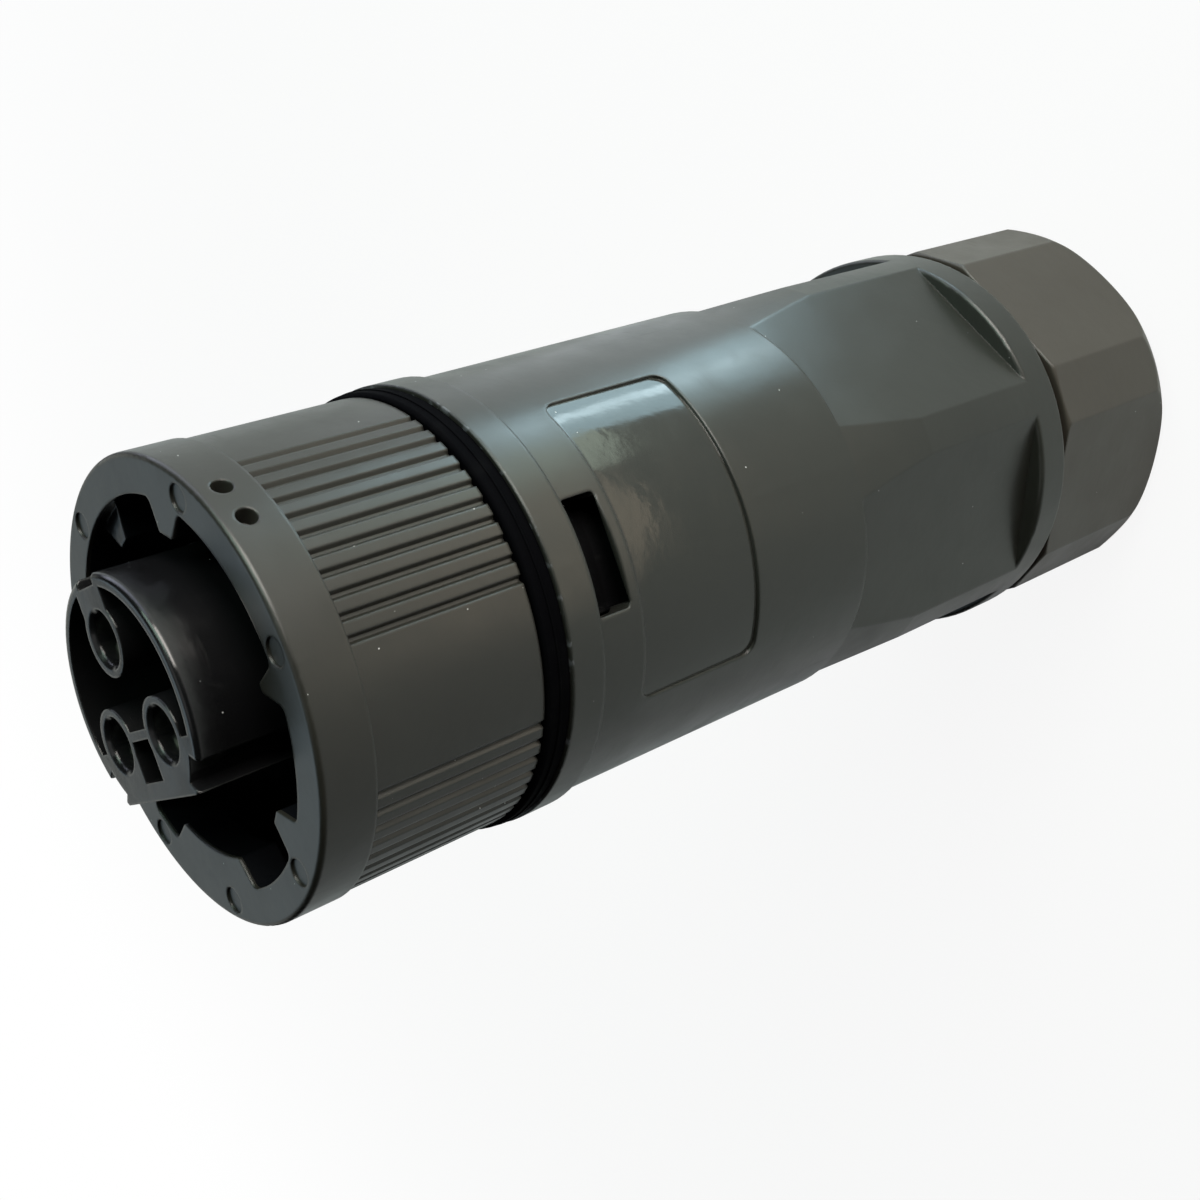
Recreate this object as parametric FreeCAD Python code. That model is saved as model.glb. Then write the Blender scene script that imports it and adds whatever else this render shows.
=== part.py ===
"""In-line three-pole AC cable connector, socket half, standing on its gland nut.

Millimetres. +Z runs along the axis from the gland nut's rear face to the mating end,
the key of the contact insert points along +Y, and angles turn from +X towards +Y.
"""
import FreeCAD, Part
import math
import os

from FreeCAD import Vector

# Gland nut
NUT_LENGTH = 18.3
NUT_INSET = 0.25
NUT_CORNER_STEP = 1.04
NUT_BLANK_STEP = 0.3
NUT_TURN = -2.3
NUT_END_INSET = 2.64
NUT_END_ROUND = 4.7
CABLE_HOLE_RADIUS = 8.2
NUT_FRONT_CHAMFER = 0.35

# Housing
NUT_GAP = 0.8
FLANGE_LENGTH = 3.6
FLANGE_ROUND = 0.35
HOUSING_LENGTH = 59.0
HOUSING_RADIUS = 17.05
HOUSING_DRAFT = 0.2
HOUSING_WALL = 2.35
COLLAR_LENGTH = 3.0
COLLAR_STEP = 0.4
STRIP_STEP = 0.85
FLAT_COUNT = 6
FLAT_LENGTH = 23.6
FLAT_DEPTH = 0.83
TAPER_LENGTH = 8.8
FLOOR_THICKNESS = 3.0
SPIGOT_LENGTH = 11.6
SPIGOT_STEP = 2.85
SPIGOT_WALL = 2.6
WINDOW_LENGTH = 3.0
WINDOW_WIDTH = 8.7
WINDOW_SETBACK = 0.2
WINDOW_CORNER = 0.35
WINDOW_LEDGE = 0.5
WINDOW_RELIEF = 2.6
PANEL_SETBACK = 4.2
PANEL_LENGTH = 11.85
PANEL_ANGLE = 83.2
PANEL_DEPTH = 0.14
PANEL_CORNER = 1.1

# Seals
GASKET_THICKNESS = 1.3
GASKET_STEP = 0.2
GASKET_LIP = 0.9
GASKET_ROUND = 0.3
SEAM_HEIGHT = 0.08
SEAM_WIDTH = 0.22
SEAL_INSET = 1.2
SEAL_HEIGHT = 2.0

# Contact insert
INSERT_FLANGE_THICKNESS = 0.7
BEAD_STEP = 0.6
BEAD_LENGTH = 1.0
SKIRT_LENGTH = 10.0
SKIRT_WALL = 1.6
ARM_SLOT = 1.0
ARM_ROOT = 1.5
NIB_SETBACK = 1.6
NIB_LAND = 0.4
NOSE_CLEARANCE = 2.65
NOSE_OFFSET = 0.5
NOSE_PROUD = 4.0
NOSE_ROUND = 0.4
SHROUD_WALL = 0.85
NOSE_FLAT = 6.7
CAVITY_DEPTH = 14.0
CAVITY_SILL = 2.8
BAR_THICKNESS = 1.3
GROOVE_START = 119.5
GROOVE_STOP = 135.4
GROOVE_DEPTH = 1.1
KEYWAY_WIDTH = 2.9
KEYWAY_LENGTH = 8.0
KEY_WEB = 4.2
LINK_WEB = 0.7
POCKET_WIDTH = 3.2
CONTACT_CENTRE_RADIUS = 4.8
TOWER_RADIUS = 2.7
MOUTH_RADIUS = 1.9
MOUTH_LENGTH = 1.6
MOUTH_OVERLAP = 0.6
MOUTH_CHAMFER = 0.3
CORE_LENGTH = 22.0
CORE_WALL = 1.6

# Contacts and their screws
PIN_BORE = 1.28
PIN_DEPTH = 12.0
SOCKET_RADIUS = 1.75
SLIT_WIDTH = 0.4
SLIT_LENGTH = 9.0
SPRING_WALL = 0.25
SPRING_LENGTH = 6.0
SPRING_SPLIT = 0.6
TERMINAL_RADIUS = 2.9
TERMINAL_LENGTH = 19.0
WIRE_RADIUS = 1.9
WIRE_DEPTH = 11.0
SCREW_SETBACK = 5.0
SCREW_RADIUS = 1.25
SCREW_HEAD_RADIUS = 1.9
SCREW_HEAD_LENGTH = 1.1
SCREW_TIP_HEIGHT = 0.8
SCREW_SLOT = 0.5

# Lock ring
RING_LENGTH = 18.2
RIM_STEP = 0.08
RIM_LENGTH = 4.2
RIM_ROUND = 0.35
RIBBED_STEP = 0.2
RIM_WALL = 2.83
WEB_LENGTH = 3.0
WEB_DEPTH = 1.7
LUG_HEIGHT = 2.3
LUG_ROOT = 0.75
LUG_LENGTH = 3.0
LUG_FLANK = 5.0
LUG_TIP_ROUND = 0.25
LUG_FOOT_ROUND = 0.7
LUGS = ((59.9, 7.7), (-4.5, 3.0), (-51.0, 5.7), (-112.0, 38.0), (161.0, 10.0), (204.0, 8.0))
SUNK_LUG = (107.0, 6.0)
SUNK_LUG_SETBACK = 1.0
RIB_GROUP_ANGLES = (25.7, 118.8, 205.7, 298.8)
RIB_COUNT = 11
RIB_PITCH = 5.06
RIB_GROOVE_WIDTH = 0.66
RIB_GROOVE_FLOOR = 0.22
RIB_GROOVE_DEPTH = 0.32
DIMPLE_ANGLES = (44.0, 33.7)
DIMPLE_SETBACK = 1.9
DIMPLE_RADIUS = 0.75
DIMPLE_FLOOR = 0.55
DIMPLE_DEPTH = 1.2
MARK_ANGLES = (51.5, 3.5, -58.5, -104.5, -142.5, 117.5)
MARK_STEP = 1.25
MARK_RADIUS = 1.0
MARK_DEPTH = 0.18
STOP_ANGLE = 200.0
STOP_WIDTH = 5.0
STOP_HEIGHT = 1.4
STOP_THICKNESS = 1.2
STOP_STEP = 0.7
LOCK_TRAVEL = 40.0

# Cable clamp
CLAW_WALL = 1.5
CLAW_LENGTH = 9.0
CLAW_FLANGE = 1.2
CLAW_FLANGE_STEP = 1.8
FINGER_COUNT = 10
FINGER_LENGTH = 3.6
FINGER_SLOT = 1.2
FINGER_TIP = 0.5
GROMMET_BORE = 5.6
GROMMET_LENGTH = 13.5
GROMMET_LIP = 0.8

# Clearances
PUSH_FIT = 0.05
RUNNING_FIT = 0.06
SLIDE_GAP = 0.15
TURN_GAP = 0.2
FREE_GAP = 0.3
OVERCUT = 5.0
MATCH_LIMIT = 1e-4

# Heights along the axis
Z_FLANGE_REAR = NUT_LENGTH + NUT_GAP
Z_FLANGE_FRONT = Z_FLANGE_REAR + FLANGE_LENGTH
Z_FLATS_FRONT = Z_FLANGE_FRONT + FLAT_LENGTH
Z_HOUSING_FRONT = Z_FLANGE_REAR + HOUSING_LENGTH
Z_COLLAR = Z_HOUSING_FRONT - COLLAR_LENGTH
Z_WINDOW_TOP = Z_COLLAR - WINDOW_SETBACK
Z_WINDOW_FOOT = Z_WINDOW_TOP - WINDOW_LENGTH
Z_SPIGOT_END = Z_FLANGE_REAR - SPIGOT_LENGTH
Z_GASKET_TOP = Z_HOUSING_FRONT + GASKET_THICKNESS
Z_INSERT_FLANGE = Z_GASKET_TOP + INSERT_FLANGE_THICKNESS
Z_RING_REAR = Z_INSERT_FLANGE + TURN_GAP
Z_RING_FRONT = Z_RING_REAR + RING_LENGTH
Z_WEB_TOP = Z_RING_REAR + WEB_LENGTH
Z_BEAD = Z_WEB_TOP + TURN_GAP
Z_NOSE_FOOT = Z_BEAD + BEAD_LENGTH
Z_NOSE_TIP = Z_RING_FRONT + NOSE_PROUD
Z_CORE_REAR = Z_HOUSING_FRONT - CORE_LENGTH
Z_TERMINAL_TOP = Z_CORE_REAR + TERMINAL_LENGTH
Z_SOCKET_MOUTH = Z_NOSE_TIP - MOUTH_LENGTH
Z_SPRING_TOP = Z_SOCKET_MOUTH - MOUTH_OVERLAP
Z_SCREW = Z_CORE_REAR + SCREW_SETBACK
Z_CLAW_FLANGE = Z_SPIGOT_END - CLAW_FLANGE
Z_FINGER_TIP = Z_CLAW_FLANGE - FINGER_LENGTH

# Radii worked out from the driving sizes
HOUSING_BORE = HOUSING_RADIUS - HOUSING_WALL
SPIGOT_RADIUS = HOUSING_RADIUS - SPIGOT_STEP
SPIGOT_BORE = SPIGOT_RADIUS - SPIGOT_WALL
STRIP_RADIUS = HOUSING_RADIUS + STRIP_STEP
SKIRT_RADIUS = HOUSING_BORE - SLIDE_GAP
GASKET_RADIUS = HOUSING_RADIUS + GASKET_STEP
FLANGE_SEAT = GASKET_RADIUS - GASKET_LIP
RIM_RADIUS = HOUSING_RADIUS + RIM_STEP
RIBBED_RADIUS = RIM_RADIUS - RIBBED_STEP
TRACK_RADIUS = RIM_RADIUS - RIM_WALL
LUG_RADIUS = TRACK_RADIUS - LUG_HEIGHT
BARREL_RADIUS = TRACK_RADIUS - WEB_DEPTH
NOSE_RADIUS = LUG_RADIUS - NOSE_CLEARANCE
STOP_RADIUS = TRACK_RADIUS + STOP_STEP
TERMINAL_HOLE = TERMINAL_RADIUS + PUSH_FIT
SPRING_RADIUS = SOCKET_RADIUS + PUSH_FIT + SPRING_WALL
SOCKET_HOLE = SPRING_RADIUS + PUSH_FIT
CORE_RADIUS = CONTACT_CENTRE_RADIUS + TERMINAL_HOLE + CORE_WALL
SCREW_SEAT = CONTACT_CENTRE_RADIUS + TERMINAL_RADIUS
CLAW_RADIUS = SPIGOT_BORE - SLIDE_GAP
CLAW_BORE = CLAW_RADIUS - CLAW_WALL
CLAW_FLANGE_RADIUS = CLAW_RADIUS + CLAW_FLANGE_STEP
GROMMET_RADIUS = CLAW_BORE - PUSH_FIT
NUT_BORE = SPIGOT_RADIUS + FREE_GAP
NUT_APOTHEM = HOUSING_RADIUS - NUT_INSET
NUT_CORNER_APOTHEM = NUT_APOTHEM + NUT_CORNER_STEP
NUT_BLANK_RADIUS = NUT_CORNER_APOTHEM + NUT_BLANK_STEP
NUT_END_RADIUS = NUT_BLANK_RADIUS - NUT_END_INSET

# Poles and the angle of each contact
POLES = {"earth": 90.0, "line": -30.0, "neutral": 210.0}
WINDOW_ANGLES = (0.0, 180.0)
FIRST_FLAT_ANGLE = 30.0

# Centre line and the middle of the nose
ORIGIN = Vector(0, 0, 0)
AXIS = Vector(0, 0, 1)
NOSE_CENTRE = Vector(0, NOSE_OFFSET, 0)


def polar(radius, degrees, z=0.0):
    """Point at a radius and an angle from +X."""
    turn = math.radians(degrees)
    return Vector(radius * math.cos(turn), radius * math.sin(turn), z)


def cylinder(radius, low, high, centre=ORIGIN):
    """Upright cylinder between two heights."""
    return Part.makeCylinder(radius, high - low, centre + Vector(0, 0, low))


def ring(inner, outer, low, high):
    """Upright tube between two heights."""
    return cylinder(outer, low, high).cut(cylinder(inner, low - OVERCUT, high + OVERCUT))


def sector(inner, outer, low, high, start, stop):
    """Slice of an upright tube between two angles."""
    pie = Part.makeCylinder(outer, high - low, Vector(0, 0, low), AXIS, stop - start)
    pie.rotate(ORIGIN, AXIS, start)
    return pie.cut(cylinder(inner, low - OVERCUT, high + OVERCUT))


def block(x_low, x_high, y_low, y_high, z_low, z_high):
    """Box between two corners."""
    return Part.makeBox(x_high - x_low, y_high - y_low, z_high - z_low, Vector(x_low, y_low, z_low))


def turned(profile):
    """Solid turned about the axis from a closed outline of (radius, height) points."""
    points = [Vector(radius, 0, z) for radius, z in profile]
    face = Part.Face(Part.makePolygon(points + points[:1]))
    return face.revolve(ORIGIN, AXIS, 360)


def spun(shape, degrees):
    """Copy of a shape turned about the axis."""
    copy = shape.copy()
    copy.rotate(ORIGIN, AXIS, degrees)
    return copy


def moved(shape, shift):
    """Copy of a shape moved by a vector."""
    copy = shape.copy()
    copy.translate(shift)
    return copy


def around(shape, count, first=0.0):
    """Copies of a shape spread evenly about the axis."""
    return [spun(shape, first + 360.0 / count * index) for index in range(count)]


def rim_edges(shape, radius, z):
    """Round edges of a shape at one radius and height."""
    found = []
    for edge in shape.Edges:
        box = edge.BoundBox
        level = max(abs(box.ZMin - z), abs(box.ZMax - z)) < MATCH_LIMIT
        if level and isinstance(edge.Curve, Part.Circle) and abs(edge.Curve.Radius - radius) < MATCH_LIMIT:
            found.append(edge)
    return found


def upright_edges(shape, radius, low, high):
    """Straight upright edges of a shape at one radius between two heights."""
    found = []
    for edge in shape.Edges:
        box = edge.BoundBox
        middle = box.Center
        level = abs(box.ZMin - low) < MATCH_LIMIT and abs(box.ZMax - high) < MATCH_LIMIT
        upright = max(box.XLength, box.YLength) < MATCH_LIMIT
        if level and upright and abs(math.hypot(middle.x, middle.y) - radius) < MATCH_LIMIT:
            found.append(edge)
    return found


def snap_block(radial_low, radial_high, width, low, high):
    """Block that faces +X, as wide as a snap window or nib."""
    return block(radial_low, radial_high, -width / 2, width / 2, low, high)


def housing_shell():
    """Outside and bore of the housing before its cut-outs."""
    return turned((
        (SPIGOT_BORE, Z_SPIGOT_END),
        (SPIGOT_RADIUS, Z_SPIGOT_END),
        (SPIGOT_RADIUS, Z_FLANGE_REAR + FLANGE_ROUND),
        (STRIP_RADIUS, Z_FLANGE_REAR + FLANGE_ROUND),
        (STRIP_RADIUS, Z_FLATS_FRONT - TAPER_LENGTH),
        (HOUSING_RADIUS + HOUSING_DRAFT, Z_FLATS_FRONT),
        (HOUSING_RADIUS, Z_COLLAR),
        (HOUSING_RADIUS + COLLAR_STEP, Z_COLLAR),
        (HOUSING_RADIUS + COLLAR_STEP, Z_HOUSING_FRONT),
        (HOUSING_BORE, Z_HOUSING_FRONT),
        (HOUSING_BORE, Z_FLANGE_FRONT + FLOOR_THICKNESS),
        (SPIGOT_BORE, Z_FLANGE_FRONT + FLOOR_THICKNESS),
    ))


def flange():
    """Rounded ring that ends the housing beside the nut."""
    shape = ring(SPIGOT_BORE, STRIP_RADIUS, Z_FLANGE_REAR, Z_FLANGE_FRONT)
    edges = rim_edges(shape, STRIP_RADIUS, Z_FLANGE_REAR) + rim_edges(shape, STRIP_RADIUS, Z_FLANGE_FRONT)
    return shape.makeFillet(FLANGE_ROUND, edges)


def wrench_flats():
    """Blocks that cut the wrench flats between the flange and the taper."""
    apothem = HOUSING_RADIUS - FLAT_DEPTH
    cutter = block(apothem, STRIP_RADIUS + OVERCUT, -HOUSING_RADIUS / 2, HOUSING_RADIUS / 2,
                   Z_FLANGE_FRONT - FLANGE_ROUND, Z_FLATS_FRONT)
    return around(cutter, FLAT_COUNT, FIRST_FLAT_ANGLE)


def panel_recess():
    """Shallow rounded rectangle that sinks a plain panel into one side."""
    top = Z_COLLAR - PANEL_SETBACK
    cutter = sector(HOUSING_RADIUS - PANEL_DEPTH, HOUSING_RADIUS + OVERCUT, top - PANEL_LENGTH, top,
                    -PANEL_ANGLE / 2, PANEL_ANGLE / 2)
    corners = []
    for edge in cutter.Edges:
        if isinstance(edge.Curve, Part.Line) and edge.BoundBox.ZLength < MATCH_LIMIT:
            corners.append(edge)
    return cutter.makeFillet(PANEL_CORNER, corners)


def snap_window():
    """Cutter of a snap window with round corners and an undercut behind its rear edge."""
    hole = snap_block(HOUSING_BORE / 2, HOUSING_RADIUS + OVERCUT, WINDOW_WIDTH, Z_WINDOW_FOOT, Z_WINDOW_TOP)
    corners = [edge for edge in hole.Edges if edge.BoundBox.XLength > MATCH_LIMIT]
    hole = hole.makeFillet(WINDOW_CORNER, corners)
    edge = HOUSING_RADIUS - WINDOW_LEDGE
    half = WINDOW_WIDTH / 2 - WINDOW_CORNER
    points = [Vector(edge, -half, Z_WINDOW_FOOT), Vector(HOUSING_BORE / 2, -half, Z_WINDOW_FOOT),
              Vector(HOUSING_BORE / 2, -half, Z_WINDOW_FOOT - WINDOW_RELIEF),
              Vector(HOUSING_BORE, -half, Z_WINDOW_FOOT - WINDOW_RELIEF)]
    relief = Part.Face(Part.makePolygon(points + points[:1])).extrude(Vector(0, 2 * half, 0))
    return hole.fuse(relief)


def housing():
    """Main shell with snap windows, panel recess, wrench flats and threaded spigot."""
    windows = [spun(snap_window(), angle) for angle in WINDOW_ANGLES]
    shell = housing_shell().cut(wrench_flats() + windows + [panel_recess()])
    return shell.fuse(flange()).removeSplitter()


def body_gasket():
    """Rubber cup between the insert's flange and the housing, with a moulding seam round it."""
    shape = ring(SKIRT_RADIUS + PUSH_FIT, GASKET_RADIUS, Z_HOUSING_FRONT, Z_INSERT_FLANGE)
    edges = []
    for z in (Z_HOUSING_FRONT, Z_INSERT_FLANGE):
        edges += rim_edges(shape, GASKET_RADIUS, z)
    shape = shape.makeFillet(GASKET_ROUND, edges)
    middle = (Z_HOUSING_FRONT + Z_INSERT_FLANGE) / 2
    seam = ring(FLANGE_SEAT, GASKET_RADIUS + SEAM_HEIGHT, middle - SEAM_WIDTH / 2, middle + SEAM_WIDTH / 2)
    return shape.fuse(seam).cut(cylinder(FLANGE_SEAT, Z_GASKET_TOP, Z_INSERT_FLANGE)).removeSplitter()


def mating_seal():
    """Rubber ring at the foot of the nose."""
    top = Z_NOSE_FOOT + SEAL_HEIGHT
    disc = cylinder(BARREL_RADIUS - SEAL_INSET, Z_NOSE_FOOT, top)
    return disc.cut(cylinder(NOSE_RADIUS + PUSH_FIT, Z_NOSE_FOOT, top, NOSE_CENTRE))


def towers(radius, low, high):
    """One upright cylinder at each contact."""
    return [cylinder(radius, low, high, polar(CONTACT_CENTRE_RADIUS, angle)) for angle in POLES.values()]


def nose():
    """C-shaped shroud round three contact towers, with its flat, grooves and keyway."""
    shape = cylinder(NOSE_RADIUS, Z_NOSE_FOOT, Z_NOSE_TIP)
    shape = shape.makeFillet(NOSE_ROUND, rim_edges(shape, NOSE_RADIUS, Z_NOSE_TIP))
    shape = shape.cut(block(-NOSE_RADIUS, NOSE_RADIUS, -2 * NOSE_RADIUS, -NOSE_FLAT, Z_NOSE_FOOT, Z_NOSE_TIP))
    key_angle = POLES["earth"]
    for side in (-1, 1):
        ends = sorted((key_angle + side * GROOVE_START, key_angle + side * GROOVE_STOP))
        groove = sector(NOSE_RADIUS - GROOVE_DEPTH, NOSE_RADIUS + OVERCUT, Z_NOSE_FOOT, Z_NOSE_TIP, *ends)
        shape = shape.cut(groove)
    floor = Z_NOSE_TIP - CAVITY_DEPTH
    inside = NOSE_RADIUS - SHROUD_WALL
    cavity = cylinder(inside, floor, Z_NOSE_TIP)
    cavity = cavity.cut(block(-inside, inside, -2 * inside, -CAVITY_SILL, floor, Z_NOSE_TIP))
    link_top = CONTACT_CENTRE_RADIUS * math.sin(math.radians(POLES["line"])) + LINK_WEB
    web = block(-KEY_WEB / 2, KEY_WEB / 2, CONTACT_CENTRE_RADIUS, NOSE_RADIUS, floor, Z_NOSE_TIP)
    link = block(-CONTACT_CENTRE_RADIUS, CONTACT_CENTRE_RADIUS, -inside, link_top, floor, Z_NOSE_TIP)
    cavity = cavity.cut([web, link] + towers(TOWER_RADIUS, floor, Z_NOSE_TIP))
    sides = cylinder(inside, floor, Z_NOSE_TIP).common(
        block(-inside, inside, -CAVITY_SILL, link_top, floor, Z_NOSE_TIP))
    sides = sides.cut([link] + towers(TOWER_RADIUS, floor, Z_NOSE_TIP))
    pocket = block(-POCKET_WIDTH / 2, POCKET_WIDTH / 2, BAR_THICKNESS - NOSE_FLAT, link_top - LINK_WEB,
                   floor, Z_NOSE_TIP)
    pocket = pocket.cut(towers(TOWER_RADIUS, floor, Z_NOSE_TIP))
    keyway = block(-KEYWAY_WIDTH / 2, KEYWAY_WIDTH / 2, inside, NOSE_RADIUS + OVERCUT,
                   Z_NOSE_TIP - KEYWAY_LENGTH, Z_NOSE_TIP)
    return moved(shape.cut([cavity, sides, pocket, keyway]), NOSE_CENTRE)


def insert_skirt():
    """Skirt inside the housing, with two snap arms whose nibs look out of the windows."""
    low = Z_HOUSING_FRONT - SKIRT_LENGTH
    skirt = ring(SKIRT_RADIUS - SKIRT_WALL, SKIRT_RADIUS, low, Z_GASKET_TOP)
    arm_width = WINDOW_WIDTH - 2 * SLIDE_GAP
    root = SKIRT_RADIUS - SKIRT_WALL / 2
    nib = turned((
        (root, Z_WINDOW_FOOT + SLIDE_GAP),
        (SKIRT_RADIUS, Z_WINDOW_FOOT + SLIDE_GAP),
        (HOUSING_RADIUS - NIB_SETBACK, Z_WINDOW_TOP - SLIDE_GAP - NIB_LAND),
        (HOUSING_RADIUS - NIB_SETBACK, Z_WINDOW_TOP - SLIDE_GAP),
        (root, Z_WINDOW_TOP - SLIDE_GAP),
    ))
    nib = nib.common(snap_block(root / 2, HOUSING_RADIUS, arm_width, low, Z_GASKET_TOP))
    slit_inner = arm_width / 2
    for angle in WINDOW_ANGLES:
        for side in (-1, 1):
            edges = sorted((side * slit_inner, side * (slit_inner + ARM_SLOT)))
            slit = block(SKIRT_RADIUS / 2, SKIRT_RADIUS + OVERCUT, edges[0], edges[1], low,
                         Z_HOUSING_FRONT - ARM_ROOT)
            skirt = skirt.cut(spun(slit, angle))
        skirt = skirt.fuse(spun(nib, angle))
    return skirt


def stop_nib():
    """Nib on the insert's flange that limits the lock ring's turn."""
    return sector(STOP_RADIUS - STOP_THICKNESS, STOP_RADIUS, Z_INSERT_FLANGE, Z_INSERT_FLANGE + STOP_HEIGHT,
                  STOP_ANGLE - STOP_WIDTH / 2, STOP_ANGLE + STOP_WIDTH / 2)


def contact_holes():
    """Stepped holes for the contacts and side holes for their screws."""
    holes = towers(MOUTH_RADIUS, Z_SPRING_TOP, Z_NOSE_TIP)
    holes += towers(SOCKET_HOLE, Z_TERMINAL_TOP, Z_SPRING_TOP + PUSH_FIT)
    holes += towers(TERMINAL_HOLE, Z_CORE_REAR, Z_TERMINAL_TOP)
    for angle in POLES.values():
        holes.append(Part.makeCone(MOUTH_RADIUS, MOUTH_RADIUS + MOUTH_CHAMFER, MOUTH_CHAMFER,
                                   polar(CONTACT_CENTRE_RADIUS, angle, Z_NOSE_TIP - MOUTH_CHAMFER)))
        holes.append(Part.makeCylinder(SCREW_HEAD_RADIUS + PUSH_FIT, CORE_RADIUS,
                                       polar(CONTACT_CENTRE_RADIUS, angle, Z_SCREW), polar(1, angle)))
    return [moved(hole, NOSE_CENTRE) for hole in holes]


def contact_insert():
    """Insulator moulding: nose, barrel, flange, skirt with snap arms and terminal core."""
    body = turned((
        (0, Z_CORE_REAR),
        (CORE_RADIUS, Z_CORE_REAR),
        (CORE_RADIUS, Z_HOUSING_FRONT),
        (SKIRT_RADIUS, Z_HOUSING_FRONT),
        (SKIRT_RADIUS, Z_GASKET_TOP),
        (FLANGE_SEAT, Z_GASKET_TOP),
        (FLANGE_SEAT, Z_INSERT_FLANGE),
        (BARREL_RADIUS, Z_INSERT_FLANGE),
        (BARREL_RADIUS, Z_BEAD),
        (BARREL_RADIUS + BEAD_STEP, Z_BEAD),
        (BARREL_RADIUS, Z_NOSE_FOOT),
        (0, Z_NOSE_FOOT),
    ))
    body = body.fuse([nose(), insert_skirt(), stop_nib()])
    return body.cut(contact_holes()).removeSplitter()


def contact(angle):
    """Turned socket contact with a slit mouth and a screw terminal."""
    centre = polar(CONTACT_CENTRE_RADIUS, angle)
    shape = cylinder(TERMINAL_RADIUS, Z_CORE_REAR, Z_TERMINAL_TOP, centre)
    shape = shape.fuse(cylinder(SOCKET_RADIUS, Z_TERMINAL_TOP, Z_SOCKET_MOUTH, centre))
    shape = shape.cut(cylinder(PIN_BORE, Z_SOCKET_MOUTH - PIN_DEPTH, Z_SOCKET_MOUTH, centre))
    shape = shape.cut(cylinder(WIRE_RADIUS, Z_CORE_REAR, Z_CORE_REAR + WIRE_DEPTH, centre))
    shape = shape.cut(Part.makeCylinder(SCREW_RADIUS + PUSH_FIT, TERMINAL_RADIUS + OVERCUT,
                                        centre + Vector(0, 0, Z_SCREW), polar(1, angle)))
    slit = block(-TERMINAL_RADIUS, TERMINAL_RADIUS, -SLIT_WIDTH / 2, SLIT_WIDTH / 2,
                 Z_SOCKET_MOUTH - SLIT_LENGTH, Z_SOCKET_MOUTH)
    return moved(shape.cut(moved(slit, centre)), NOSE_CENTRE)


def contact_spring(angle):
    """Split spring sleeve that closes the contact's slit mouth."""
    centre = polar(CONTACT_CENTRE_RADIUS, angle)
    low = Z_SPRING_TOP - SPRING_LENGTH
    sleeve = cylinder(SPRING_RADIUS, low, Z_SPRING_TOP, centre)
    sleeve = sleeve.cut(cylinder(SPRING_RADIUS - SPRING_WALL, low, Z_SPRING_TOP, centre))
    split = block(0, SPRING_RADIUS + OVERCUT, -SPRING_SPLIT / 2, SPRING_SPLIT / 2, low, Z_SPRING_TOP)
    return moved(sleeve.cut(moved(split, centre)), NOSE_CENTRE)


def terminal_screw(angle):
    """Slotted screw that clamps a wire, with its head sunk in the core."""
    outward = polar(1, angle)
    tip = polar(CONTACT_CENTRE_RADIUS + SCREW_TIP_HEIGHT, angle, Z_SCREW)
    seat = polar(SCREW_SEAT, angle, Z_SCREW)
    reach = SCREW_SEAT - CONTACT_CENTRE_RADIUS - SCREW_TIP_HEIGHT
    screw = Part.makeCylinder(SCREW_RADIUS, reach, tip, outward)
    screw = screw.fuse(Part.makeCylinder(SCREW_HEAD_RADIUS, SCREW_HEAD_LENGTH, seat, outward))
    slot = block(SCREW_SEAT + SCREW_HEAD_LENGTH - SCREW_SLOT, SCREW_SEAT + OVERCUT, -SCREW_SLOT / 2,
                 SCREW_SLOT / 2, Z_SCREW - SCREW_HEAD_RADIUS, Z_SCREW + SCREW_HEAD_RADIUS)
    return moved(screw.cut(spun(slot, angle)), NOSE_CENTRE)


def bayonet_lug(middle, tip_width, setback=0.0):
    """Lug that stands inwards from the track, narrower at its tip."""
    root = TRACK_RADIUS + LUG_ROOT
    half = tip_width / 2
    low = Z_RING_FRONT - LUG_LENGTH - setback
    first = polar(root, middle - half - LUG_FLANK, low)
    last = polar(root, middle + half + LUG_FLANK, low)
    tip_first = polar(LUG_RADIUS, middle - half, low)
    tip_last = polar(LUG_RADIUS, middle + half, low)
    outline = Part.Wire([
        Part.makeLine(first, tip_first),
        Part.Arc(tip_first, polar(LUG_RADIUS, middle, low), tip_last).toShape(),
        Part.makeLine(tip_last, last),
        Part.Arc(last, polar(root, middle, low), first).toShape(),
    ])
    return Part.Face(outline).extrude(Vector(0, 0, LUG_LENGTH))


def rib_grooves():
    """Narrow grooves with sloping sides along the ribbed zone, in groups."""
    slope = (RIB_GROOVE_WIDTH - RIB_GROOVE_FLOOR) / 2
    floor, top = RIBBED_RADIUS - RIB_GROOVE_DEPTH, RIBBED_RADIUS + RIB_GROOVE_DEPTH
    half_floor = RIB_GROOVE_FLOOR / 2
    half_top = half_floor + 2 * slope
    points = [Vector(floor, -half_floor, Z_RING_REAR), Vector(top, -half_top, Z_RING_REAR),
              Vector(top, half_top, Z_RING_REAR), Vector(floor, half_floor, Z_RING_REAR)]
    face = Part.Face(Part.makePolygon(points + points[:1]))
    cutter = face.extrude(Vector(0, 0, RING_LENGTH - RIM_LENGTH))
    grooves = []
    for middle in RIB_GROUP_ANGLES:
        first = middle - RIB_PITCH * (RIB_COUNT - 1) / 2
        grooves += [spun(cutter, first + RIB_PITCH * index) for index in range(RIB_COUNT)]
    return grooves


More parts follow.
